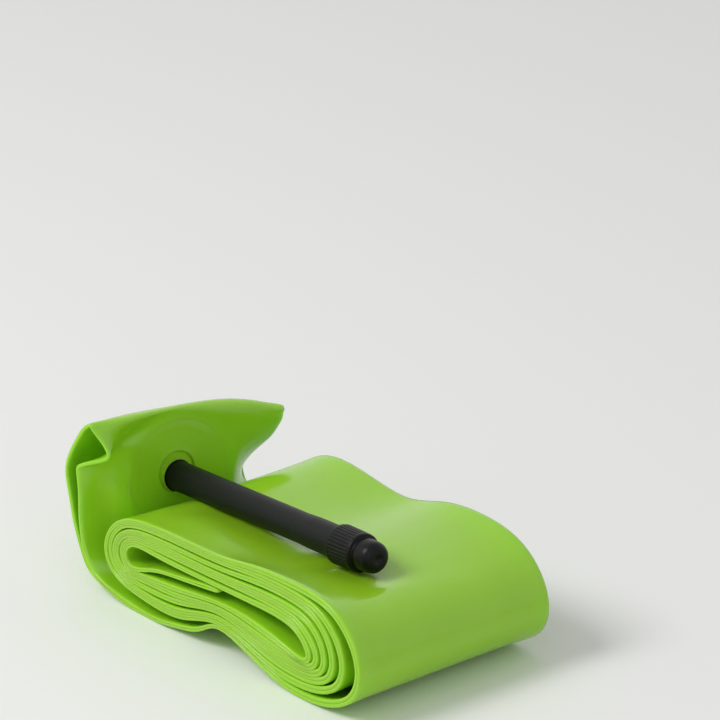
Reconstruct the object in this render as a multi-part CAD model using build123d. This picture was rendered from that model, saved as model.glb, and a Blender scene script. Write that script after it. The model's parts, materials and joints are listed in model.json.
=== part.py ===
from build123d import *
import os
from math import cos, hypot, pi, radians, sin

os.makedirs("parts", exist_ok=True)

# A rolled-up bicycle inner tube. Millimetres. The row's frame: X runs along the roll, from the standing
# fold (-X) to the free end of the roll (+X). Y runs across the tube's width, from the end with the open
# spiral (-Y) to the other. Z is up, and Z = 0 is the surface that the roll lies on.

# ---- driving dimensions ----
LAY_FLAT = 48.0  # width of the collapsed tube
FILM = 0.17  # thickness of one film
STRIP = 4 * FILM  # the tube is folded in half, so a turn is four films thick
TURNS = 6
FOLD_WALL = 0.4  # one collapsed tube at the standing fold: two films and some air

STEM_BASE = Vector(-35.85, -3.5, 19.6)  # centre of the hole in the film
STEM_RISE = 4.1  # degrees above level
STEM_TURN = -2.6  # degrees towards the open end of the spiral
STEM_R = 3.05
STEM_ROOT_R = 3.3  # inside the flange's socket
STEM_TOP_R = 3.2  # the stem swells a little where the brass insert is
STEM_LENGTH = 55.6
STEM_BORE_R = 1.7
VALVE_LENGTH = 66.3  # from the film to the tip of the dust cap

# ---- section of the wound roll ----
# Each station pairs a point of the innermost turn with one of the outermost turn, as (x, z).
# They go clockwise seen from -Y, starting under the waist between the two lobes.
STATIONS = [
    ((3.0, 11.5), (3.0, 5.6)),
    ((-9.0, 10.1), (-8.5, 3.7)),
    ((-19.5, 9.2), (-21.0, 3.3)),
    ((-25.0, 9.7), (-30.5, 5.6)),
    ((-25.9, 11.6), (-33.1, 10.6)),
    ((-23.6, 13.4), (-29.2, 17.1)),
    ((-16.0, 14.3), (-18.0, 20.3)),
    ((2.0, 14.2), (2.5, 20.9)),
    ((14.0, 14.2), (14.0, 22.4)),
    ((22.5, 13.9), (28.0, 22.9)),
    ((27.0, 12.3), (39.2, 20.2)),
    ((28.7, 9.8), (45.7, 13.0)),
    ((27.2, 8.5), (43.4, 5.4)),
    ((22.8, 8.8), (32.0, 0.1)),
    ((13.6, 10.8), (17.5, 1.7)),
]
# The inner end of the strip crosses the hollow from its top down to the first bend.
INNER_TAIL = [(2.0, 13.3), (-9.5, 12.0), (-19.5, 9.9)]
# The outer end leaves the notch under the waist and runs along the ground to the standing fold.
OUTER_RUN = [(-3.0, 3.3), (-9.5, 1.1), (-16.0, 0.35), (-22.0, 0.25), (-27.0, 0.45)]

# ---- sections of the standing fold, as a width position and (x, z) points ----
# Each goes from the ground up the inner layer, over the crest and down the outer layer.
INNER_FOOT = [(-24.0, 0.75), (-29.0, 1.05)]
OUTER_FOOT = [(-31.5, 0.3), (-24.0, 0.25)]
FOLD_NEAR = [(-36.5, 3.4), (-40.6, 7.5), (-41.8, 14.0), (-41.9, 21.0), (-40.0, 30.0)]
FOLD_NEAR += [(-37.4, 34.9), (-39.6, 34.6), (-43.6, 29.5), (-45.4, 23.5), (-44.9, 16.0)]
FOLD_NEAR += [(-43.3, 9.5), (-38.8, 3.0)]
FOLD_FAR = [(-36.5, 2.6), (-41.5, 6.0), (-41.6, 12.5), (-39.4, 17.8), (-36.9, 23.5)]
FOLD_FAR += [(-34.6, 27.9), (-37.0, 28.2), (-40.6, 23.5), (-43.2, 17.5), (-44.9, 11.5)]
FOLD_FAR += [(-43.9, 5.0), (-38.8, 1.6)]
FLAT_NEAR_Y = -15.0  # the fold is flat between these two sections, where the valve's flange is
FLAT_FAR_Y = 8.0
FLAT_HEIGHTS = [8.6, 14.0, 20.0, 26.0]
FAR_Y = 21.5

# ---- valve base flange, in the pocket between the two films ----
FLANGE_R = 10.0
FLANGE_THICK = 0.8
POCKET_WALL = 0.25
POCKET_GAP = 0.05
FILM_HOLE_R = 3.9
NECK_R = 3.75
NECK_FRONT = -0.1  # distances along the stem are from the film's outer face
FLANGE_BACK = -POCKET_WALL - POCKET_GAP - FLANGE_THICK
STEM_ROOT = FLANGE_BACK + 0.3

# ---- end of the valve, distances along the stem from the film ----
BORE_STEP = 39.3  # the stem's bore widens here for the core
INSERT_R = 2.5
INSERT_BORE_R = 2.05
INSERT_FROM = 47.3
CORE_R = 2.0
CORE_FROM = 44.9
GASKET_THICK = 0.5
CORE_HEAD_R = 2.6
CORE_HEAD_LENGTH = 3.8
CORE_FLATS = 4.4  # across the two wrench flats
CORE_BORE_R = 1.0
PIN_R = 0.93
PIN_HEAD_R = 1.25
PIN_TIP = 64.0
SEAL_R = 1.7
SEAL_THICK = 0.8
NUT_R = 2.05
NUT_HEIGHT = 3.0
NUT_KNURLS = 16
CAP_LENGTH = 12.0
CAP_R = 4.0
CAP_COLLAR = 7.3
CAP_NOSE_R = 3.2
CAP_ROUND_R = 1.5
ARC_STEPS = 6
CAP_RIBS = 24
CAP_SEAT_R = 3.3
CAP_THREAD_R = 2.66
CAP_HOLLOW_R = 2.35
CAP_TOP_WALL = 1.1
GROOVE_R = 4.45  # the roll's top is pressed in under the valve

turned = radians(STEM_TURN)
raised = radians(STEM_RISE)
STEM_AXIS = Vector(cos(raised) * cos(turned), cos(raised) * sin(turned), sin(raised))
print("stem axis", tuple(round(v, 5) for v in STEM_AXIS))


def stem_plane(along):
    """The plane across the stem at a distance from the film."""
    return Plane(origin=STEM_BASE + STEM_AXIS * along, z_dir=STEM_AXIS)


def bar(radius, start, end):
    """A round bar on the stem's axis between two distances from the film."""
    return extrude(stem_plane(start) * Circle(radius), amount=end - start)


def tube(radius, bore, start, end):
    """A round tube on the stem's axis."""
    return bar(radius, start, end) - bar(bore, start - 1, end + 1)


def turned_profile(points):
    """A solid turned about the stem's axis from (distance, radius) points."""
    outline = make_face(Polyline(*[(radius, along) for along, radius in points], close=True))
    across = Plane(origin=STEM_BASE, x_dir=stem_plane(0).x_dir, z_dir=stem_plane(0).y_dir * -1)
    return revolve(across * outline, Axis(STEM_BASE, STEM_AXIS))


def both_sides(points, gap):
    """The two lines that run half a gap to each side of a line of (x, z) points."""
    last = len(points) - 1
    sides = ([], [])
    for i in range(last + 1):
        before, after = points[max(i - 1, 0)], points[min(i + 1, last)]
        run_x, run_z = after[0] - before[0], after[1] - before[1]
        reach = gap / 2 / hypot(run_x, run_z)
        for side, sign in zip(sides, (1, -1)):
            side.append((points[i][0] - sign * reach * run_z, points[i][1] + sign * reach * run_x))
    return sides


def smooth(points, steps=3):
    """A finer line through the points: a cubic with Catmull-Rom slopes."""
    last = len(points) - 1
    line = []
    for i in range(last):
        before, a, b, after = points[max(i - 1, 0)], points[i], points[i + 1], points[min(i + 2, last)]
        for k in range(steps):
            t = k / steps
            weights = (
                -0.5 * t + t**2 - 0.5 * t**3,
                1 - 2.5 * t**2 + 1.5 * t**3,
                0.5 * t + 2 * t**2 - 1.5 * t**3,
                -0.5 * t**2 + 0.5 * t**3,
            )
            near = (before, a, b, after)
            line.append(tuple(sum(w * p[j] for w, p in zip(weights, near)) for j in (0, 1)))
    return line + [points[-1]]


def spiral_points():
    """The middle line of the wound strip, from its inner end to the standing fold."""
    count = len(STATIONS)
    line = list(INNER_TAIL)
    for step in range(len(INNER_TAIL), count * TURNS + 1):
        (in_x, in_z), (out_x, out_z) = STATIONS[step % count]
        out = step / (count * TURNS)
        line.append((in_x + out * (out_x - in_x), in_z + out * (out_z - in_z)))
    return line + OUTER_RUN


def upright(points, y):
    """Points of an (x, z) section placed at a width position."""
    return [(x, y, z) for x, z in points]


def band(points, y, thickness):
    """A thin face that follows an open line of (x, z) points at a width position."""
    left, right = both_sides(points, thickness)
    return make_face(Polyline(*upright(left + right[::-1], y), close=True))


def wound_strip():
    """The doubled tube wound into the roll: one section drawn out across the whole width."""
    middle = smooth(spiral_points())
    length = sum(hypot(b[0] - a[0], b[1] - a[1]) for a, b in zip(middle, middle[1:]))
    print("length of the wound strip", round(length))
    return extrude(band(middle, -LAY_FLAT / 2, STRIP), amount=LAY_FLAT, dir=(0, 1, 0))


def flat_x(y, z):
    """Where the middle of the fold's flat stretch is, square to the stem."""
    inside = STEM_BASE - STEM_AXIS * FOLD_WALL / 2
    return inside.X - (STEM_AXIS.Y * (y - inside.Y) + STEM_AXIS.Z * (z - inside.Z)) / STEM_AXIS.X


def flat_section(y, crest_z):
    """A section of the standing fold through its flat stretch."""
    inner = [(-33.2, 2.4)] + [(flat_x(y, z), z) for z in FLAT_HEIGHTS]
    crest = [(-36.8, crest_z - 2.2), (-38.6, crest_z)]
    outer = [(-41.8, crest_z - 4.5), (-44.0, 23.0), (-45.2, 15.0), (-44.2, 8.0), (-39.0, 2.5)]
    return inner + crest + outer


def standing_fold():
    """The end of the folded ring: one collapsed tube that goes up, over a crest and down again."""
    sections = [
        (-LAY_FLAT / 2, FOLD_NEAR),
        (FLAT_NEAR_Y, flat_section(FLAT_NEAR_Y, 34.8)),
        (FLAT_FAR_Y, flat_section(FLAT_FAR_Y, 32.6)),
        (FAR_Y, FOLD_FAR),
    ]
    bands = [band(smooth(INNER_FOOT + points + OUTER_FOOT), y, FOLD_WALL) for y, points in sections]
    return loft(bands, ruled=True)


def tube_film():
    """The whole film: wound strip, standing fold, and the pocket that holds the valve's flange."""
    film = wound_strip() + standing_fold()
    pocket_depth = FLANGE_THICK + 2 * POCKET_GAP + 2 * POCKET_WALL
    film += bar(FLANGE_R + 0.8, -pocket_depth, 0)
    film -= bar(FLANGE_R + POCKET_GAP, POCKET_WALL - pocket_depth, -POCKET_WALL)
    film -= bar(FILM_HOLE_R, -POCKET_WALL - POCKET_GAP, 1)
    film -= bar(GROOVE_R, 0.3, VALVE_LENGTH + 40)
    rest_box = Box(200, 200, 100, align=(Align.CENTER, Align.CENTER, Align.MIN))
    return film & rest_box


def valve_base_flange():
    """A disc with a low neck. The stem is moulded into its socket."""
    disc = bar(FLANGE_R, FLANGE_BACK, FLANGE_BACK + FLANGE_THICK) + bar(NECK_R, FLANGE_BACK, NECK_FRONT)
    return disc - bar(STEM_ROOT_R, STEM_ROOT, 1) - bar(STEM_BORE_R, FLANGE_BACK - 1, 1)


def valve_stem():
    """The hollow stem, straight along its working length and a little fuller at the insert."""
    return turned_profile(
        [
            (STEM_ROOT, STEM_BORE_R),
            (STEM_ROOT, STEM_ROOT_R),
            (NECK_FRONT, STEM_ROOT_R),
            (NECK_FRONT, STEM_R),
            (BORE_STEP + 3, STEM_R),
            (BORE_STEP + 7, STEM_TOP_R),
            (STEM_LENGTH - 0.4, STEM_TOP_R),
            (STEM_LENGTH, STEM_TOP_R - 0.4),
            (STEM_LENGTH, INSERT_R),
            (BORE_STEP, INSERT_R),
            (BORE_STEP - 0.8, STEM_BORE_R),
        ]
    )


def stem_insert():
    """A brass bush with grip grooves on its outside, moulded into the stem."""
    bush = tube(INSERT_R, INSERT_BORE_R, INSERT_FROM, STEM_LENGTH)
    for at in (INSERT_FROM + 2.0, INSERT_FROM + 4.0, INSERT_FROM + 6.0):
        bush -= tube(INSERT_R + 1, INSERT_R - 0.2, at, at + 0.8)
    return bush


def core_body():
    """The screwed barrel with its shoulder, thread for the cap and two wrench flats."""
    shoulder = STEM_LENGTH + GASKET_THICK
    top = shoulder + CORE_HEAD_LENGTH
    body = bar(CORE_R, CORE_FROM, shoulder) + bar(CORE_HEAD_R, shoulder, top)
    for turn in (0, 180):
        across = Location(stem_plane(top - 2.2)) * Rot(0, 0, turn) * Pos(CORE_FLATS / 2 + 5, 0, 5)
        body -= across * Box(10, 20, 10)
    for thread in range(4):
        at = shoulder + 0.35 + thread * 0.35
        body -= tube(CORE_HEAD_R + 1, CORE_HEAD_R - 0.12, at, at + 0.15)
    for thread in range(12):
        at = INSERT_FROM + 0.5 + thread * 0.6
        body -= tube(CORE_R + 1, CORE_R - 0.15, at, at + 0.25)
    return body - bar(CORE_BORE_R, CORE_FROM - 1, top + 1)


def core_gasket():
    return tube(CORE_HEAD_R, CORE_R + 0.02, STEM_LENGTH, STEM_LENGTH + GASKET_THICK)


def valve_pin():
    """The rod that carries the seal inside and the lock nut outside."""
    seal_from = CORE_FROM - SEAL_THICK
    rod = bar(PIN_R, seal_from, PIN_TIP - 0.4) + bar(PIN_HEAD_R, seal_from - 0.6, seal_from)
    taper = PIN_TIP - 0.4
    tip = turned_profile([(taper, 0), (taper, PIN_R), (PIN_TIP, PIN_R - 0.35), (PIN_TIP, 0)])
    return rod + tip


def pin_seal():
    return tube(SEAL_R, PIN_R, CORE_FROM - SEAL_THICK, CORE_FROM - 0.02)


def lock_nut():
    """The knurled nut, which seats on the core and holds the seal shut."""
    seat = STEM_LENGTH + GASKET_THICK + CORE_HEAD_LENGTH
    nut = bar(NUT_R, seat + 0.03, seat + NUT_HEIGHT)
    for knurl in range(NUT_KNURLS):
        cutter = Rot(0, 0, 360 * knurl / NUT_KNURLS) * Pos(NUT_R + 0.12, 0, NUT_HEIGHT / 2 + 0.5)
        nut -= Location(stem_plane(seat)) * cutter * Cylinder(0.25, NUT_HEIGHT)
    return nut - bar(PIN_R + 0.04, seat - 1, seat + NUT_HEIGHT + 1)


def dust_cap():
    """Grip collar with fine ribs, a narrower nose with a rounded end and a dimple, hollow inside."""
    rear = VALVE_LENGTH - CAP_LENGTH
    step = rear + CAP_COLLAR
    arc = []
    for k in range(ARC_STEPS + 1):
        bend = pi / 2 * k / ARC_STEPS
        along = VALVE_LENGTH - CAP_ROUND_R * (1 - sin(bend))
        arc.append((along, CAP_NOSE_R - 0.15 - CAP_ROUND_R * (1 - cos(bend))))
    outside = [(rear, CAP_R - 0.4), (rear + 0.4, CAP_R), (step - 0.4, CAP_R - 0.15), (step, CAP_R - 0.55)]
    dimple = [(VALVE_LENGTH, 0.9), (VALVE_LENGTH - 0.35, 0.5), (VALVE_LENGTH - 0.35, 0)]
    outside += [(step, CAP_NOSE_R)] + arc + dimple
    seat_end = STEM_LENGTH + GASKET_THICK + 0.1
    head_end = STEM_LENGTH + GASKET_THICK + CORE_HEAD_LENGTH
    hollow_end = VALVE_LENGTH - CAP_TOP_WALL
    inside = [(hollow_end, 0), (hollow_end, CAP_HOLLOW_R - 0.6), (hollow_end - 0.6, CAP_HOLLOW_R)]
    inside += [(head_end + 0.2, CAP_HOLLOW_R), (head_end - 0.1, CAP_THREAD_R), (seat_end, CAP_THREAD_R)]
    inside += [(seat_end, CAP_SEAT_R), (rear, CAP_SEAT_R)]
    cap = turned_profile(outside + inside)
    for rib in range(CAP_RIBS):
        cutter = Rot(0, 0, 360 * rib / CAP_RIBS) * Pos(CAP_R + 0.13, 0, CAP_COLLAR / 2)
        cap -= Location(stem_plane(rear)) * cutter * Cylinder(0.28, CAP_COLLAR - 2.0)
    return cap


PIECES = {
    "tube_film": tube_film,
    "valve_base_flange": valve_base_flange,
    "valve_stem": valve_stem,
    "stem_insert": stem_insert,
    "core_body": core_body,
    "core_gasket": core_gasket,
    "valve_pin": valve_pin,
    "pin_seal": pin_seal,
    "lock_nut": lock_nut,
    "dust_cap": dust_cap,
}

for name, make in PIECES.items():
    piece = make()
    box = piece.bounding_box()
    print(name, "solids", len(piece.solids()), "volume", round(piece.volume, 1))
    print("  box", box.min, box.max)
    export_step(piece, f"parts/{name}.step")
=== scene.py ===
# %% [markdown]
# # A rolled-up bicycle inner tube
# The object is one ring of thin plastic film, collapsed flat, folded in half and wound into a roll.
# A long valve stem leaves the film where the folded ring's outer end stands up, and lies over the roll.
#
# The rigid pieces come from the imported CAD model. The film is soft, so it is made here.

# %% load the frame
import json
from math import cos, radians, sin

import bpy
import numpy as np
from mathutils import Matrix, Vector


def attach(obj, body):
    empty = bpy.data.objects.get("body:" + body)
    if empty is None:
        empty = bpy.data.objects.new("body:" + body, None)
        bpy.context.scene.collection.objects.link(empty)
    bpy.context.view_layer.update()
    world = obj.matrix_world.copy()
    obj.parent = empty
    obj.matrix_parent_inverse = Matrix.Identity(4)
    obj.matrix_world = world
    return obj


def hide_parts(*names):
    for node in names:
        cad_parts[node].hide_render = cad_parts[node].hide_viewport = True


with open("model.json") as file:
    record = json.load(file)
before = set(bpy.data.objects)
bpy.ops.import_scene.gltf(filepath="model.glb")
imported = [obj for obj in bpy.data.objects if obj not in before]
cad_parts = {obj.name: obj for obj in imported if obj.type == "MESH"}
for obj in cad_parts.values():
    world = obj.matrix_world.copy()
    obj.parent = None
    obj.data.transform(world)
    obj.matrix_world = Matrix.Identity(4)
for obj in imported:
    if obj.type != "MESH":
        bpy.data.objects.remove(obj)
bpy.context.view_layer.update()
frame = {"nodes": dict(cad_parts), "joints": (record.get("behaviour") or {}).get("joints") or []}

MM = 0.001
print("CAD nodes:", sorted(frame["nodes"]))

# %% [markdown]
# ## Where the valve is
# The stem's direction is the axis of the joint that draws the valve core out, so it is read from the record.
# The stem starts at the centre of the hole in the film. Everything below is in millimetres until the mesh is made.

# %% valve axis
joint_axis = next(j["axis"] for j in frame["joints"] if j["name"] == "core_unscrew")
STEM = np.array(joint_axis) / np.linalg.norm(joint_axis)
HOLE = np.array([-35.85, -3.5, 19.6])
print("stem direction", STEM.round(4))


def along_and_off(points):
    """How far points are along the stem, and how far off its axis: the dot product, and what is left of the length."""
    away = points - HOLE
    along = away @ STEM
    return along, np.linalg.norm(away - along[..., None] * STEM, axis=-1)


# %% [markdown]
# ## A smooth curve through points
# Both directions of the film are smooth curves through a few control points. A cubic spline bends as a thin
# strip does: its curvature changes evenly from point to point. Finding it is one small linear equation.


# %% cubic spline
def spline(knots, values, at):
    """The natural cubic spline through values at knots. The second derivatives m solve the tridiagonal equation
    h0 m0 + 2 (h0 + h1) m1 + h1 m2 = 6 (slope1 - slope0), with m zero at both ends."""
    knots = np.asarray(knots, float)
    values = np.asarray(values, float)
    step = np.diff(knots)
    shape = (-1,) + (1,) * (values.ndim - 1)
    slope = np.diff(values, axis=0) / step.reshape(shape)
    count = len(knots)
    matrix = np.eye(count)
    right = np.zeros_like(values)
    inner = np.arange(1, count - 1)
    matrix[inner, inner - 1] = step[:-1]
    matrix[inner, inner] = 2 * (step[:-1] + step[1:])
    matrix[inner, inner + 1] = step[1:]
    right[1:-1] = 6 * np.diff(slope, axis=0)
    second = np.linalg.solve(matrix, right.reshape(count, -1)).reshape(values.shape)
    i = np.clip(np.searchsorted(knots, at, side="right") - 1, 0, count - 2)
    h = step[i].reshape(shape)
    b = ((at - knots[i]) / step[i]).reshape(shape)
    a = 1 - b
    bend = ((a**3 - a) * second[i] + (b**3 - b) * second[i + 1]) * h**2 / 6
    return a * values[i] + b * values[i + 1] + bend


def ease(x):
    """Smooth step from 0 to 1: 3 x^2 - 2 x^3."""
    x = np.clip(x, 0, 1)
    return x * x * (3 - 2 * x)


# %% [markdown]
# ## The roll
# A station is a place on the way round the roll. At each one the turns are stacked from the hollow's wall to
# the outline, so a turn's place is a share of the way between the two. The two ends of the roll differ a little,
# as they do in a roll made by hand, and the width between them is a blend.

# %% stations of the roll
HOLLOW = [
    (3.0, 11.5), (-9.0, 10.4), (-19.5, 9.4), (-24.6, 9.6), (-26.0, 11.8), (-23.8, 13.9), (-16.0, 14.1), (2.0, 14.1),
    (14.0, 14.2), (22.8, 13.8), (27.2, 11.8), (28.9, 9.2), (27.4, 8.3), (22.8, 9.4), (13.6, 11.1),
]
OUTLINE_NEAR = [
    (3.0, 5.3), (-8.5, 1.9), (-21.5, 1.9), (-31.0, 6.2), (-33.3, 10.6), (-30.2, 16.6), (-20.0, 20.4), (2.5, 21.4),
    (14.0, 22.9), (28.0, 23.4), (39.4, 21.2), (45.9, 13.0), (43.6, 5.0), (32.0, 0.4), (17.5, 1.6),
]
OUTLINE_FAR = [
    (3.0, 5.3), (-8.5, 2.0), (-21.5, 1.9), (-31.0, 6.2), (-33.3, 10.6), (-29.8, 17.3), (-18.5, 21.9), (1.5, 20.1),
    (14.0, 23.1), (28.0, 23.8), (38.6, 20.6), (44.6, 12.6), (42.4, 4.9), (31.5, 0.4), (17.5, 1.6),
]
TURNS = 6
# In the right bend the turns spring apart: the inner ones stay together and the outer ones stand off.
SPRUNG = [0.09, 0.22, 0.355, 0.50, 0.67, 0.93]
LOOSE = {10: 0.4, 11: 1.0, 12: 1.0, 13: 0.6, 14: 0.2}
FIRST = 3  # the inner end lies across the hollow and joins the turns at this station
TAIL = [(2.0, 13.4), (-9.5, 12.1), (-18.5, 10.6)]
RUN = [(-3.2, 3.4), (-9.5, 1.75), (-15.0, 0.85), (-20.0, 0.64)]
RUN_PITCH = 1.2


def roll_lines(y):
    """The middle line of the doubled strip at width positions y, and how thick a turn is at each of its points.
    A point is hollow + share * (outline - hollow), with share = (turn + 1/2) / turns."""
    far = ease(y / 48 + 0.5)[:, None]
    count = len(HOLLOW)
    rows, pitches = [], []
    for x, z in TAIL:
        rows.append(np.stack([np.full_like(y, x), y, np.full_like(y, z)], -1))
        pitches.append(0.95)
    for step in range(FIRST, TURNS * count + 1):
        j = step % count
        turn = step // count - (j < FIRST)
        wobble = 0.14 * sin(2.3 * turn + 0.8 * j)
        share = (turn + 0.5 + wobble) / TURNS
        loose = LOOSE.get(j, 0)
        share += loose * (SPRUNG[turn] - share)
        outline = (1 - far) * np.array(OUTLINE_NEAR[j]) + far * np.array(OUTLINE_FAR[j])
        reach = outline - np.array(HOLLOW[j])
        flat = np.array(HOLLOW[j]) + share * reach
        rows.append(np.stack([flat[:, 0], y, flat[:, 1]], -1))
        pitches.append(float(np.hypot(*reach.mean(0))) / TURNS)
    for x, z in RUN:
        rows.append(np.stack([np.full_like(y, x), y, np.full_like(y, z)], -1))
        pitches.append(RUN_PITCH)
    return np.array(rows), np.array(pitches)


# %% [markdown]
# ## The standing fold
# The ring's outer end is one collapsed tube. It leaves the ground, stands up beside the roll, goes over a crest
# and down again. Its control points are rows up and over, at five places across the width. The near edge is
# buckled in below the crest, because a flat tube can't bend two ways at once without a dent.

# %% control points of the fold
ACROSS = np.array([-1.0, -0.8, -0.15, 0.5, 1.0])
FOLD = np.array([
    [(-25.5, -24, 1.15), (-25.5, -19.2, 1.1), (-25.5, -3.6, 1.0), (-25.5, 12, 1.0), (-25.5, 24, 1.1)],
    [(-31.5, -24, 1.9), (-31.0, -19.2, 1.7), (-30.2, -3.6, 1.5), (-30.4, 12, 1.5), (-31.0, 24, 1.8)],
    [(-36.0, -24, 3.3), (-35.3, -19.2, 3.0), (-33.4, -3.6, 2.9), (-34.0, 11.8, 2.9), (-36.0, 22.8, 3.1)],
    [(-39.4, -24, 5.9), (-38.4, -19.2, 6.0), (-34.9, -3.6, 6.4), (-35.8, 11.2, 6.4), (-39.6, 20.0, 6.2)],
    [(-40.9, -24, 9.4), (-39.6, -19.2, 9.8), (-35.3, -3.5, 11.0), (-36.2, 10.8, 10.6), (-40.9, 17.6, 10.2)],
    [(-41.6, -24, 14.6), (-40.0, -19.2, 15.0), (-35.7, -3.5, 16.2), (-36.4, 10.8, 15.6), (-41.2, 16.2, 14.6)],
    [(-41.65, -24, 20.2), (-39.8, -19.2, 20.4), (-36.1, -3.5, 21.4), (-36.1, 10.9, 20.6), (-38.9, 18.9, 19.2)],
    [(-42.1, -24, 24.0), (-39.3, -19.2, 24.6), (-36.4, -3.5, 26.0), (-35.8, 11.2, 24.6), (-36.9, 21.0, 22.0)],
    [(-40.4, -23.5, 25.7), (-38.5, -19.0, 26.6), (-36.6, -3.5, 28.6), (-35.6, 11.8, 27.0), (-35.6, 21.8, 24.4)],
    [(-35.2, -22.0, 27.8), (-37.3, -18.8, 28.6), (-36.6, -3.5, 30.6), (-35.4, 12.2, 28.6), (-34.6, 22.0, 26.2)],
    [(-34.3, -21.7, 29.2), (-36.6, -18.8, 30.3), (-36.6, -3.5, 31.9), (-35.4, 12.4, 29.6), (-34.4, 22.0, 27.2)],
    [(-35.4, -22.3, 31.2), (-36.0, -19.0, 32.4), (-36.7, -3.5, 33.0), (-35.7, 12.6, 30.6), (-34.3, 22.2, 27.8)],
    [(-37.0, -23.5, 33.8), (-36.3, -19.1, 34.3), (-37.2, -3.5, 33.6), (-36.5, 12.8, 31.2), (-34.8, 22.3, 28.1)],
    [(-37.6, -24, 34.9), (-37.5, -19.2, 34.9), (-38.3, -3.5, 33.5), (-37.9, 12.8, 31.2), (-35.6, 22.4, 27.8)],
    [(-39.6, -24, 33.4), (-39.4, -19.4, 33.9), (-39.9, -3.6, 32.6), (-39.6, 12.7, 29.9), (-37.2, 21.8, 26.4)],
    [(-42.0, -24, 30.3), (-41.8, -19.4, 31.0), (-41.8, -3.6, 29.8), (-41.4, 12.5, 27.4), (-39.6, 20.6, 24.2)],
    [(-45.4, -24, 24.1), (-45.2, -19.4, 24.6), (-43.8, -3.6, 24.6), (-43.4, 12, 22.8), (-42.2, 19.2, 20.0)],
    [(-44.7, -24, 18.3), (-45.0, -19.3, 18.6), (-44.6, -3.6, 18.4), (-44.4, 11.8, 17.3), (-43.6, 18.8, 15.2)],
    [(-43.2, -24, 12.6), (-43.8, -19.2, 12.6), (-44.2, -3.6, 12.4), (-44.3, 12, 11.8), (-44.0, 19.6, 10.4)],
    [(-40.4, -24, 6.3), (-41.2, -19.2, 6.4), (-42.2, -3.6, 6.2), (-42.3, 12.4, 6.0), (-42.0, 21.6, 5.6)],
    [(-37.8, -24, 3.5), (-38.2, -19.2, 3.3), (-38.8, -3.6, 2.8), (-38.8, 12.8, 2.6), (-38.4, 23.2, 2.6)],
    [(-32.3, -24, 1.7), (-32.4, -19.2, 1.4), (-32.6, -3.6, 0.9), (-32.6, 13, 0.8), (-32.4, 24, 1.0)],
    [(-26.0, -24, 0.55), (-26.0, -19.2, 0.45), (-26.0, -3.6, 0.35), (-26.0, 13, 0.35), (-26.0, 24, 0.45)],
])

# %% [markdown]
# ## One closed path
# The ring goes out along the roll as the inner of each pair of layers, over the standing fold, and back as the
# outer one, with a small turn at the inner end. So the whole film is a single surface with no seam.

# %% control net of the ring
LAYER_SHARE = 0.205  # a layer's middle is this share of the pitch from the middle of the pair
BEAD_SHARE = 0.228  # half a bead's thickness, as a share of the pitch
BEAD_MOST = 0.42
CONTROL_T = np.array([-1.0, -0.9, -0.7, -0.45, -0.15, 0.15, 0.45, 0.75, 0.92, 1.0])
SPAN = 24.0
control_y = CONTROL_T * SPAN
middle, pitch = roll_lines(control_y)
tangent = np.gradient(middle, axis=0)
side = np.stack([tangent[..., 2], np.zeros(tangent.shape[:2]), -tangent[..., 0]], -1)
side /= np.linalg.norm(side, axis=-1, keepdims=True)
quarter = np.minimum(LAYER_SHARE * pitch, LAYER_SHARE / BEAD_SHARE * BEAD_MOST)[:, None, None]
fold_net = np.swapaxes(spline(ACROSS, np.swapaxes(FOLD, 0, 1), CONTROL_T), 0, 1)
inner_turn = middle[:1] + np.array([1.1, 0, 0.05])
net = np.concatenate([inner_turn, middle + quarter * side, fold_net, (middle - quarter * side)[::-1]])
net_pitch = np.concatenate([[0.95], pitch, np.full(len(FOLD), RUN_PITCH), pitch[::-1]])
roll_rows = len(middle)
print("control net", net.shape)

# %% rows along the path
ROWS_PER_SPAN = 6
FOLD_ROWS_PER_SPAN = 11
WRAP = 4
ring = np.concatenate([net[-WRAP:], net, net[: WRAP + 1]])
ring_pitch = np.concatenate([net_pitch[-WRAP:], net_pitch, net_pitch[: WRAP + 1]])
chord = np.linalg.norm(np.diff(ring[:, [2, 4, 7]], axis=0), axis=-1).mean(1)
path = np.concatenate([[0], np.cumsum(np.sqrt(chord))])
spans = np.arange(len(net)) + WRAP
dense = np.abs(np.arange(len(net)) - (roll_rows + 1 + len(FOLD) / 2)) < len(FOLD) / 2 + 1
at = np.concatenate([
    path[i] + (path[i + 1] - path[i]) * np.arange(n) / n
    for i, n in zip(spans, np.where(dense, FOLD_ROWS_PER_SPAN, ROWS_PER_SPAN))
])
row_net = spline(path, ring, at)
row_pitch = np.interp(at, path, ring_pitch)
in_fold = np.interp(at, path, np.concatenate([np.zeros(WRAP), dense.astype(float), np.zeros(WRAP + 1)]))

# %% [markdown]
# ## Section of the collapsed tube
# A collapsed tube is two films with a soft round bead along each edge, where the film turns back on itself.
# So its section is a flat loop: thin in the middle, thicker at the two edges, and half round at the ends.

# %% section
FLAT_T = np.array([
    -0.975, -0.94, -0.89, -0.82, -0.73, -0.63, -0.53, -0.44, -0.36, -0.29, -0.22, -0.15, -0.08, 0.0, 0.09, 0.2,
    0.32, 0.45, 0.58, 0.7, 0.8, 0.88, 0.94, 0.975,
])
END_ANGLES = np.radians([62, 34, 10, -10, -34, -62])
t_ring = np.concatenate([FLAT_T, np.ones(len(END_ANGLES)), FLAT_T[::-1], -np.ones(len(END_ANGLES))])
lift = np.concatenate([np.ones(len(FLAT_T)), np.sin(END_ANGLES), -np.ones(len(FLAT_T)), np.sin(-END_ANGLES)])
bulge = np.concatenate([np.zeros(len(FLAT_T)), np.cos(END_ANGLES), np.zeros(len(FLAT_T)), np.cos(END_ANGLES)])
columns = np.unique(t_ring)
surface = np.swapaxes(spline(CONTROL_T, np.swapaxes(row_net, 0, 1), columns), 0, 1)
d_path = (np.roll(surface, -1, 0) - np.roll(surface, 1, 0)) / 2
d_across = np.gradient(surface, columns, axis=1)
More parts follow.
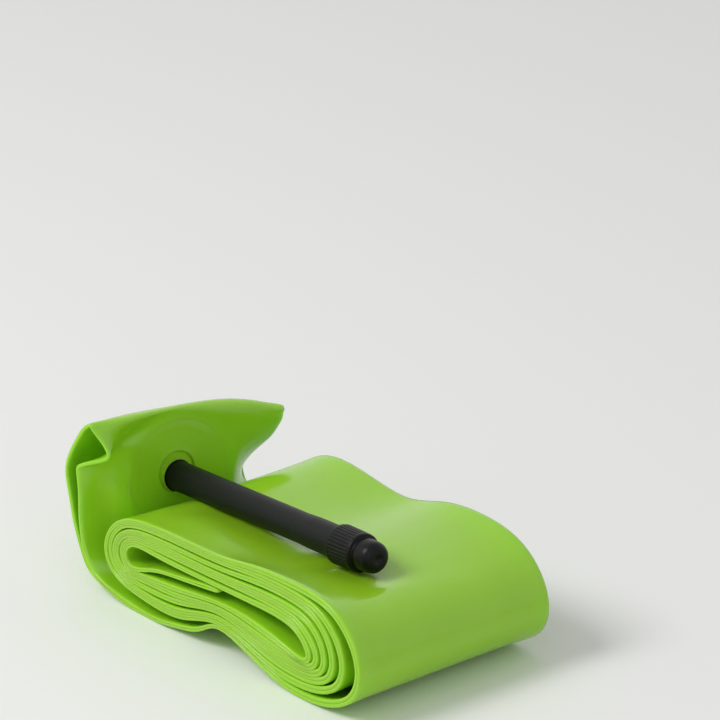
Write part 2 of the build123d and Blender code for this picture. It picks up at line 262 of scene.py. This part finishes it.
normal = np.cross(d_across, d_path)
normal /= np.linalg.norm(normal, axis=-1, keepdims=True)
outward = d_across / np.linalg.norm(d_across, axis=-1, keepdims=True)
pick = np.searchsorted(columns, t_ring)

MIDDLE_HALF = 0.22
edge_half = np.clip(BEAD_SHARE * row_pitch, 0.22, BEAD_MOST)
edge_half = edge_half * (1 - in_fold) + 0.42 * in_fold
bead = ease((np.abs(t_ring) - 0.78) / 0.2)
half = MIDDLE_HALF + (edge_half[:, None] - MIDDLE_HALF) * bead
ROUNDING = 0.55  # the bead's end is flatter than a half circle
inset = -np.sign(t_ring) * bead * ROUNDING * edge_half[:, None]
film = surface[:, pick] + half[..., None] * lift[:, None] * normal[:, pick]
film += (inset + np.sign(t_ring) * bulge * ROUNDING * edge_half[:, None])[..., None] * outward[:, pick]

# %% [markdown]
# ## What the valve does to the film
# The flange is a disc between the two films, so the tube is thick and flat there. The roll is pressed in where
# the stem and cap lie on it, and it sags between its two edges, which are thicker.

# %% pocket round the flange
FLANGE_R = 12.2
POCKET_DEEP = 1.45
HOLE_FLOOR = 1.0
along, off = along_and_off(film)
near_valve = (1 - ease((off - FLANGE_R) / 4.0)) * (np.abs(along) < 5) * in_fold[:, None]
first_half = (np.arange(len(at)) < len(at) / 2)[:, None]
near_valve = near_valve * first_half
front = -HOLE_FLOOR * (1 - ease((off - 5.5) / 3.0))
target = np.where(lift[None, :] > 0, front, -POCKET_DEEP)
film += (near_valve * (target - along))[..., None] * STEM

# %% groove and sag of the roll's top
CAP_FROM = 53.8
GROOVE_END = 81.0  # the cap comes this far when the core is screwed out under it
roll_top = np.interp(film[..., 0], [-34, -30, -20, -6, 2, 14, 24, 31, 39, 46], [15, 17, 20.5, 21.2, 21.4, 22.9, 23.3, 23.3, 21, 14])
along, off = along_and_off(film)
axis_height = HOLE[2] + along * STEM[2]
beside = film[..., 1] - (HOLE[1] + along * STEM[1])
stem_radius = 3.1 + 0.95 * ease((along - CAP_FROM + 1.5) / 1.5) * (1 - ease((along - GROOVE_END) / 4))
sag_deep = 1.3 + 0.8 * ease((film[..., 0] - 2) / 14)
sag = sag_deep * (1 - np.abs(film[..., 1] / SPAN) ** 3) * ease((film[..., 0] + 33) / 14) * ease((46 - film[..., 0]) / 14)
press = np.maximum(roll_top - (axis_height - stem_radius) + 0.3 - sag, 0)
press = press * np.exp(-((beside / 6.5) ** 2)) * (1 - ease((along - GROOVE_END) / 8)) * ease((along - 2) / 3)
share = np.clip((film[..., 2] - 14.2) / np.maximum(roll_top - 14.2, 1), 0, 1.1)
film[..., 2] -= (sag + press) * share * (1 - in_fold[:, None])

# %% film mesh
def closed_grid(name, points, u_closed=True, v_closed=True, uv_scale=None):
    """A mesh from a grid of points (rows, ring, xyz) in millimetres. Vertex (i, j) is i * ring + j, and each face
    joins four neighbours. A closed direction joins its last line to its first."""
    rows, ring_count = points.shape[:2]
    i = np.arange(rows if u_closed else rows - 1)[:, None]
    j = np.arange(ring_count if v_closed else ring_count - 1)[None, :]
    i2, j2 = (i + 1) % rows, (j + 1) % ring_count
    faces = np.stack([i * ring_count + j, i2 * ring_count + j, i2 * ring_count + j2, i * ring_count + j2], -1)
    faces = faces.reshape(-1, 4)
    mesh = bpy.data.meshes.new(name)
    mesh.vertices.add(rows * ring_count)
    mesh.vertices.foreach_set("co", (points.reshape(-1) * MM).astype(np.float32))
    mesh.loops.add(faces.size)
    mesh.loops.foreach_set("vertex_index", faces.reshape(-1).astype(np.int32))
    mesh.polygons.add(len(faces))
    mesh.polygons.foreach_set("loop_start", np.arange(0, faces.size, 4, dtype=np.int32))
    mesh.update(calc_edges=True)
    mesh.validate()
    mesh.polygons.foreach_set("use_smooth", np.ones(len(faces), bool))
    piece = bpy.data.objects.new(name, mesh)
    bpy.context.scene.collection.objects.link(piece)
    print(name, "faces", len(faces))
    return piece


tube = closed_grid("wound_tube", film)

# %% [markdown]
# ## Welded patch round the valve
# The film is welded to the flange inside it. The flange's rim shows as a faint ring, and the film stops in a
# small lip round a hole a little wider than the stem. A profile carried round a circle gives all of it.

# %% patch
ACROSS_STEM = np.cross(STEM, [0, 0, 1])
ACROSS_STEM /= np.linalg.norm(ACROSS_STEM)
ABOVE_STEM = np.cross(ACROSS_STEM, STEM)


def round_stem(along, radius, angle, shift=(0.0, 0.0)):
    """Points round the stem: hole + along * stem + (radius cos a + shift) * across + (radius sin a + shift) * above."""
    side_way = radius * np.cos(angle) + shift[0]
    up_way = radius * np.sin(angle) + shift[1]
    return HOLE + along[..., None] * STEM + side_way[..., None] * ACROSS_STEM + up_way[..., None] * ABOVE_STEM


PATCH = np.array([
    (12.1, -0.12), (11.5, 0.0), (10.9, 0.03), (10.4, 0.055), (10.0, 0.06), (9.6, 0.03), (9.0, 0.025), (7.5, 0.03), (6.2, 0.03),
    (5.4, 0.04), (4.95, 0.07), (4.6, 0.11), (4.35, 0.11), (4.18, 0.02), (4.1, -0.12), (4.08, -0.5), (4.05, -0.85),
    (3.2, -0.9), (3.2, -0.98), (12.0, -0.4),
])
HOLE_SHIFT = np.array([0.25, 0.95])  # the hole is stretched upwards by the stem's weight
angle = np.linspace(0, 2 * np.pi, 96, endpoint=False)[:, None]
radius = PATCH[None, :, 0] + 0 * angle
near_hole = 1 - ease((radius - 4.0) / 4.0)
patch = round_stem(PATCH[None, :, 1] + 0 * angle, radius, angle, (near_hole * HOLE_SHIFT[0], near_hole * HOLE_SHIFT[1]))
valve_patch = closed_grid("valve_patch", patch[:, ::-1])

# %% [markdown]
# ## Dust cap
# A moulded cap: a grip collar with fine ribs, a step, and a narrower nose with a round end and a dimple. Its
# radius is a profile, less a small wave round the collar for the ribs. The inside is hollow, as the real one is.

# %% cap
CAP_REAR = 54.3
CAP_TIP = 66.3
RIBS = 34
RIB_DEEP = 0.16
CAP_OUTSIDE = [
    (0.0, 3.45), (0.0, 3.72), (0.08, 3.86), (0.25, 3.96), (0.5, 4.0), (0.9, 4.0), (1.3, 3.99), (2.5, 3.97), (4.0, 3.94), (5.5, 3.9),
    (6.2, 3.88), (6.6, 3.87), (6.9, 3.84), (7.12, 3.76), (7.25, 3.6), (7.28, 3.4), (7.3, 3.2), (7.5, 3.12), (7.8, 3.16), (8.4, 3.2),
    (9.4, 3.17), (10.2, 3.12), (10.7, 3.03), (11.1, 2.86), (11.45, 2.6), (11.7, 2.28), (11.87, 1.9), (11.95, 1.5), (11.98, 1.2),
    (11.94, 1.0), (11.82, 0.82), (11.68, 0.6), (11.6, 0.3), (11.59, 0.02),
]
CAP_INSIDE = [(10.9, 0.02), (10.9, 1.6), (10.3, 2.3), (6.0, 2.35), (5.7, 2.7), (1.9, 2.75), (1.85, 3.3), (0.6, 3.3)]
cap_profile = np.array(CAP_OUTSIDE + CAP_INSIDE)
angle = np.linspace(0, 2 * np.pi, RIBS * 8, endpoint=False)[:, None]
along = cap_profile[None, :, 0] + 0 * angle
radius = cap_profile[None, :, 1] + 0 * angle
on_collar = ease((along - 0.7) / 0.5) * (1 - ease((along - 6.2) / 0.5)) * (radius > 3.7)
rib_wave = np.abs(np.cos(RIBS * angle / 2)) ** 1.5
radius = radius - RIB_DEEP * on_collar * (1 - rib_wave)
cap = closed_grid("ribbed_cap", round_stem(CAP_REAR + along, radius, angle)[:, ::-1])

# %% [markdown]
# ## Materials

# %% colour and node helpers
def linear(code):
    """A linear colour from an sRGB hex code: below 0.04045 divide by 12.92, else ((c + 0.055) / 1.055) ^ 2.4."""
    levels = [int(code[k : k + 2], 16) / 255 for k in (0, 2, 4)]
    return [c / 12.92 if c <= 0.04045 else ((c + 0.055) / 1.055) ** 2.4 for c in levels] + [1.0]


def add_node(tree, kind, inputs=(), **settings):
    """Adds a node, sets its settings, and fills each input with a value or a link from an output socket."""
    node = tree.nodes.new(kind)
    for name, value in settings.items():
        setattr(node, name, value)
    for name, value in dict(inputs).items():
        if isinstance(value, bpy.types.NodeSocket):
            tree.links.new(value, node.inputs[name])
        else:
            node.inputs[name].default_value = value
    return node


def new_material(name):
    """A material with an empty node tree and its output node."""
    material = bpy.data.materials.new(name)
    material.use_nodes = True
    material.node_tree.nodes.clear()
    return material, material.node_tree


# %% film material
def blown_tpu_film():
    """Blown thermoplastic polyurethane film: glossy, a little cloudy, and light passes some way into it."""
    material, tree = new_material("blown_tpu_film")
    place = add_node(tree, "ShaderNodeTexCoord")
    cloud = add_node(tree, "ShaderNodeTexNoise", {"Vector": place.outputs["Object"], "Scale": 55.0, "Detail": 3.0})
    ramp = add_node(tree, "ShaderNodeValToRGB", {"Fac": cloud.outputs["Fac"]})
    ramp.color_ramp.elements[0].color = linear("8fcb1c")
    ramp.color_ramp.elements[1].color = linear("9ad62a")
    shine = add_node(tree, "ShaderNodeMapRange", {"Value": cloud.outputs["Fac"], "To Min": 0.13, "To Max": 0.22})
    ripple = add_node(tree, "ShaderNodeTexNoise", {"Vector": place.outputs["Object"], "Scale": 160.0, "Detail": 2.0})
    bump = add_node(tree, "ShaderNodeBump", {"Height": ripple.outputs["Fac"], "Strength": 0.12, "Distance": 0.0004})
    shader = add_node(tree, "ShaderNodeBsdfPrincipled", {
        "Base Color": ramp.outputs["Color"],
        "Roughness": shine.outputs["Result"],
        "IOR": 1.5,
        "Subsurface Weight": 0.35,
        "Subsurface Radius": (0.6, 1.0, 0.08),
        "Subsurface Scale": 0.0025,
        "Normal": bump.outputs["Normal"],
    })
    add_node(tree, "ShaderNodeOutputMaterial", {"Surface": shader.outputs["BSDF"]})
    return material


def moulded(name, code, roughness, grain, strength):
    """Injection-moulded plastic or rubber: a fine grain in the gloss and the bump."""
    material, tree = new_material(name)
    place = add_node(tree, "ShaderNodeTexCoord")
    grains = add_node(tree, "ShaderNodeTexNoise", {"Vector": place.outputs["Object"], "Scale": grain, "Detail": 4.0})
    shine = add_node(tree, "ShaderNodeMapRange", {"Value": grains.outputs["Fac"], "To Min": roughness - 0.06, "To Max": roughness + 0.06})
    bump = add_node(tree, "ShaderNodeBump", {"Height": grains.outputs["Fac"], "Strength": strength, "Distance": 0.0001})
    shader = add_node(tree, "ShaderNodeBsdfPrincipled", {
        "Base Color": linear(code),
        "Roughness": shine.outputs["Result"],
        "IOR": 1.5,
        "Specular IOR Level": 0.16,
        "Normal": bump.outputs["Normal"],
    })
    add_node(tree, "ShaderNodeOutputMaterial", {"Surface": shader.outputs["BSDF"]})
    return material


def turned_brass():
    """Free-cutting brass turned on a lathe: warm metal, with a roughness that varies finely and spreads the highlight."""
    material, tree = new_material("turned_brass")
    place = add_node(tree, "ShaderNodeTexCoord")
    grain = add_node(tree, "ShaderNodeTexNoise", {"Vector": place.outputs["Object"], "Scale": 2500.0, "Detail": 2.0})
    shine = add_node(tree, "ShaderNodeMapRange", {"Value": grain.outputs["Fac"], "To Min": 0.2, "To Max": 0.34})
    shader = add_node(tree, "ShaderNodeBsdfPrincipled", {
        "Base Color": linear("d9b36a"),
        "Metallic": 1.0,
        "Roughness": shine.outputs["Result"],
    })
    add_node(tree, "ShaderNodeOutputMaterial", {"Surface": shader.outputs["BSDF"]})
    return material


film_material = blown_tpu_film()
stem_material = moulded("moulded_tpu_stem", "101210", 0.46, 900.0, 0.25)
cap_material = moulded("moulded_pp_cap", "070807", 0.34, 900.0, 0.2)
brass = turned_brass()
rubber = moulded("moulded_nitrile_rubber", "1a1a1a", 0.6, 1500.0, 0.3)

for piece, body, finish, slot, node in (
    (tube, "tube", film_material, "lime_film", "tube_film"),
    (valve_patch, "tube", film_material, "lime_film", None),
    (cap, "cap", cap_material, "black_cap", "dust_cap"),
):
    piece.data.materials.append(finish)
    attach(piece, body)
    if node:
        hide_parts(node)

finishes = {
    "valve_stem": stem_material,
    "valve_base_flange": film_material,
    "stem_insert": brass,
    "core_body": brass,
    "valve_pin": brass,
    "lock_nut": brass,
    "core_gasket": rubber,
    "pin_seal": rubber,
}
for name, finish in finishes.items():
    node = frame["nodes"][name]
    node.data.materials.clear()
    node.data.materials.append(finish)

# %% floor and backdrop
floor_mesh = bpy.data.meshes.new("floor")
HALF_FLOOR = 6.0
floor_mesh.from_pydata([(x * HALF_FLOOR, y * HALF_FLOOR, 0) for x, y in ((-1, -1), (1, -1), (1, 1), (-1, 1))], [], [(0, 1, 2, 3)])
floor = bpy.data.objects.new("floor", floor_mesh)
bpy.context.scene.collection.objects.link(floor)
floor_material, floor_tree = new_material("matt_white_board")
floor_shader = add_node(floor_tree, "ShaderNodeBsdfPrincipled", {"Base Color": linear("f4f4f2"), "Roughness": 0.9})
add_node(floor_tree, "ShaderNodeOutputMaterial", {"Surface": floor_shader.outputs["BSDF"]})
floor.data.materials.append(floor_material)

# %% world and lamps
world = bpy.data.worlds.new("studio")
bpy.context.scene.world = world
world.use_nodes = True
world.node_tree.nodes.clear()
seen = add_node(world.node_tree, "ShaderNodeLightPath")
backs = add_node(world.node_tree, "ShaderNodeMath", {0: seen.outputs["Is Camera Ray"], 1: seen.outputs["Is Glossy Ray"]}, operation="MAXIMUM")
level = add_node(world.node_tree, "ShaderNodeMapRange", {"Value": backs.outputs[0], "To Min": 0.5, "To Max": 1.0})
light = add_node(world.node_tree, "ShaderNodeBackground", {"Color": (1, 1, 1, 1), "Strength": level.outputs["Result"]})
add_node(world.node_tree, "ShaderNodeOutputWorld", {"Surface": light.outputs["Background"]})


def softbox(name, place, aim, size, power):
    """A square area lamp at a place, turned to shine at a point. Its -Z axis is the way it shines."""
    lamp = bpy.data.lights.new(name, "AREA")
    lamp.shape = "SQUARE"
    lamp.size = size
    lamp.energy = power
    holder = bpy.data.objects.new(name, lamp)
    holder.location = place
    holder.rotation_euler = (Vector(aim) - Vector(place)).to_track_quat("-Z", "Y").to_euler()
    bpy.context.scene.collection.objects.link(holder)
    return holder


softbox("key", (-0.35, -0.75, 0.85), (0, 0, 0.01), 0.5, 7.2)
softbox("fill", (0.8, -0.5, 0.5), (0, 0, 0.01), 0.6, 0.8)

# %% camera
camera_data = bpy.data.cameras.new("camera")
camera_data.sensor_width = 36.0
camera_data.lens = 223.46
camera_data.clip_start = 0.01
camera = bpy.data.objects.new("camera", camera_data)
forward = Vector((-0.7206, 0.5940, -0.3577)).normalized()
right = Vector((0.6361, 0.7716, 0)).normalized()
upward = right.cross(forward)
turn = Matrix((right, upward, -forward)).transposed().to_4x4()
camera.matrix_world = Matrix.Translation(Vector((621.8, -498.8, 359.3)) * MM) @ turn
bpy.context.scene.collection.objects.link(camera)
bpy.context.scene.camera = camera
bpy.context.scene.view_settings.view_transform = "Standard"
